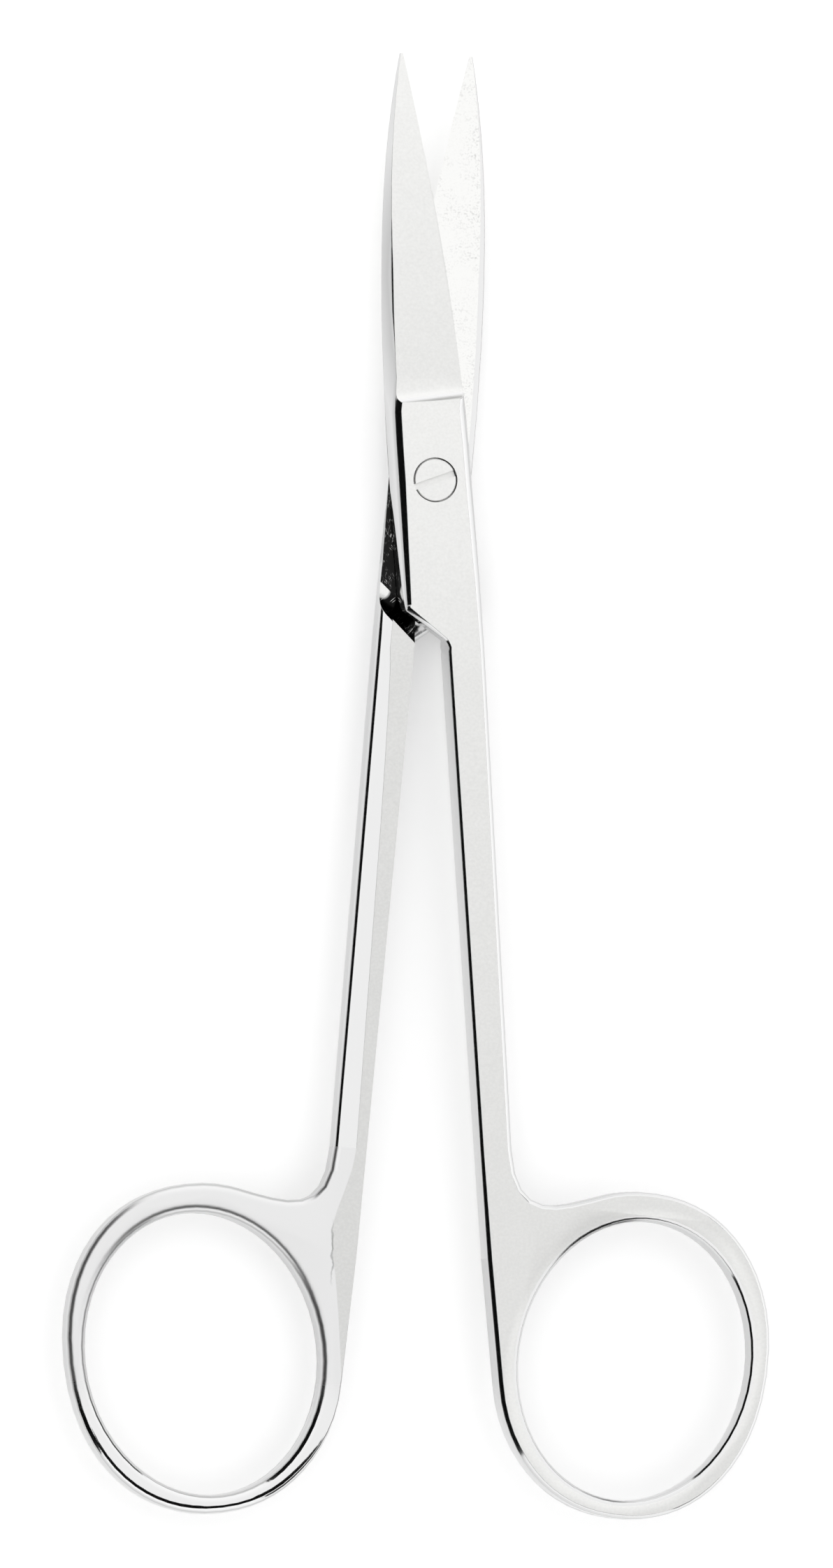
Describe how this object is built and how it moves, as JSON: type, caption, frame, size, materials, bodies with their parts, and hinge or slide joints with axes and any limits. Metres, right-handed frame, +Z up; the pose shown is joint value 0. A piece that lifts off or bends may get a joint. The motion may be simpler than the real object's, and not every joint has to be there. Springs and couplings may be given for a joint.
{
  "type": "gum scissors",
  "caption": "Slender straight surgical scissors with finger rings, a flat lap joint held by a slotted screw, and narrow pointed blades lying slightly open.",
  "frame": {"origin": "on the pivot axis, at the flat underside of the joint that the scissors rest on", "axes": "+Y from the pivot towards the blade points, +X to the right seen from above, +Z up along the pivot axis, out of the screw head"},
  "size_m": [0.0586, 0.1198, 0.0042],
  "materials": {
    "satin_steel": "fine satin on the ground faces, polished on edges and rings",
    "screw_steel": "satin head, ground flush with the joint"
  },
  "bodies": {
    "lower_half": {"lower_half": "satin_steel", "pivot_screw": "screw_steel"},
    "upper_half": {"upper_half": "satin_steel"}
  },
  "joints": [
    {"name": "pivot", "type": "hinge", "parent": "lower_half", "child": "upper_half", "pos_m": [0, 0, 0.00212], "axis": [0, 0, 1], "range_deg": [-9.6, 80.4]}
  ]
}
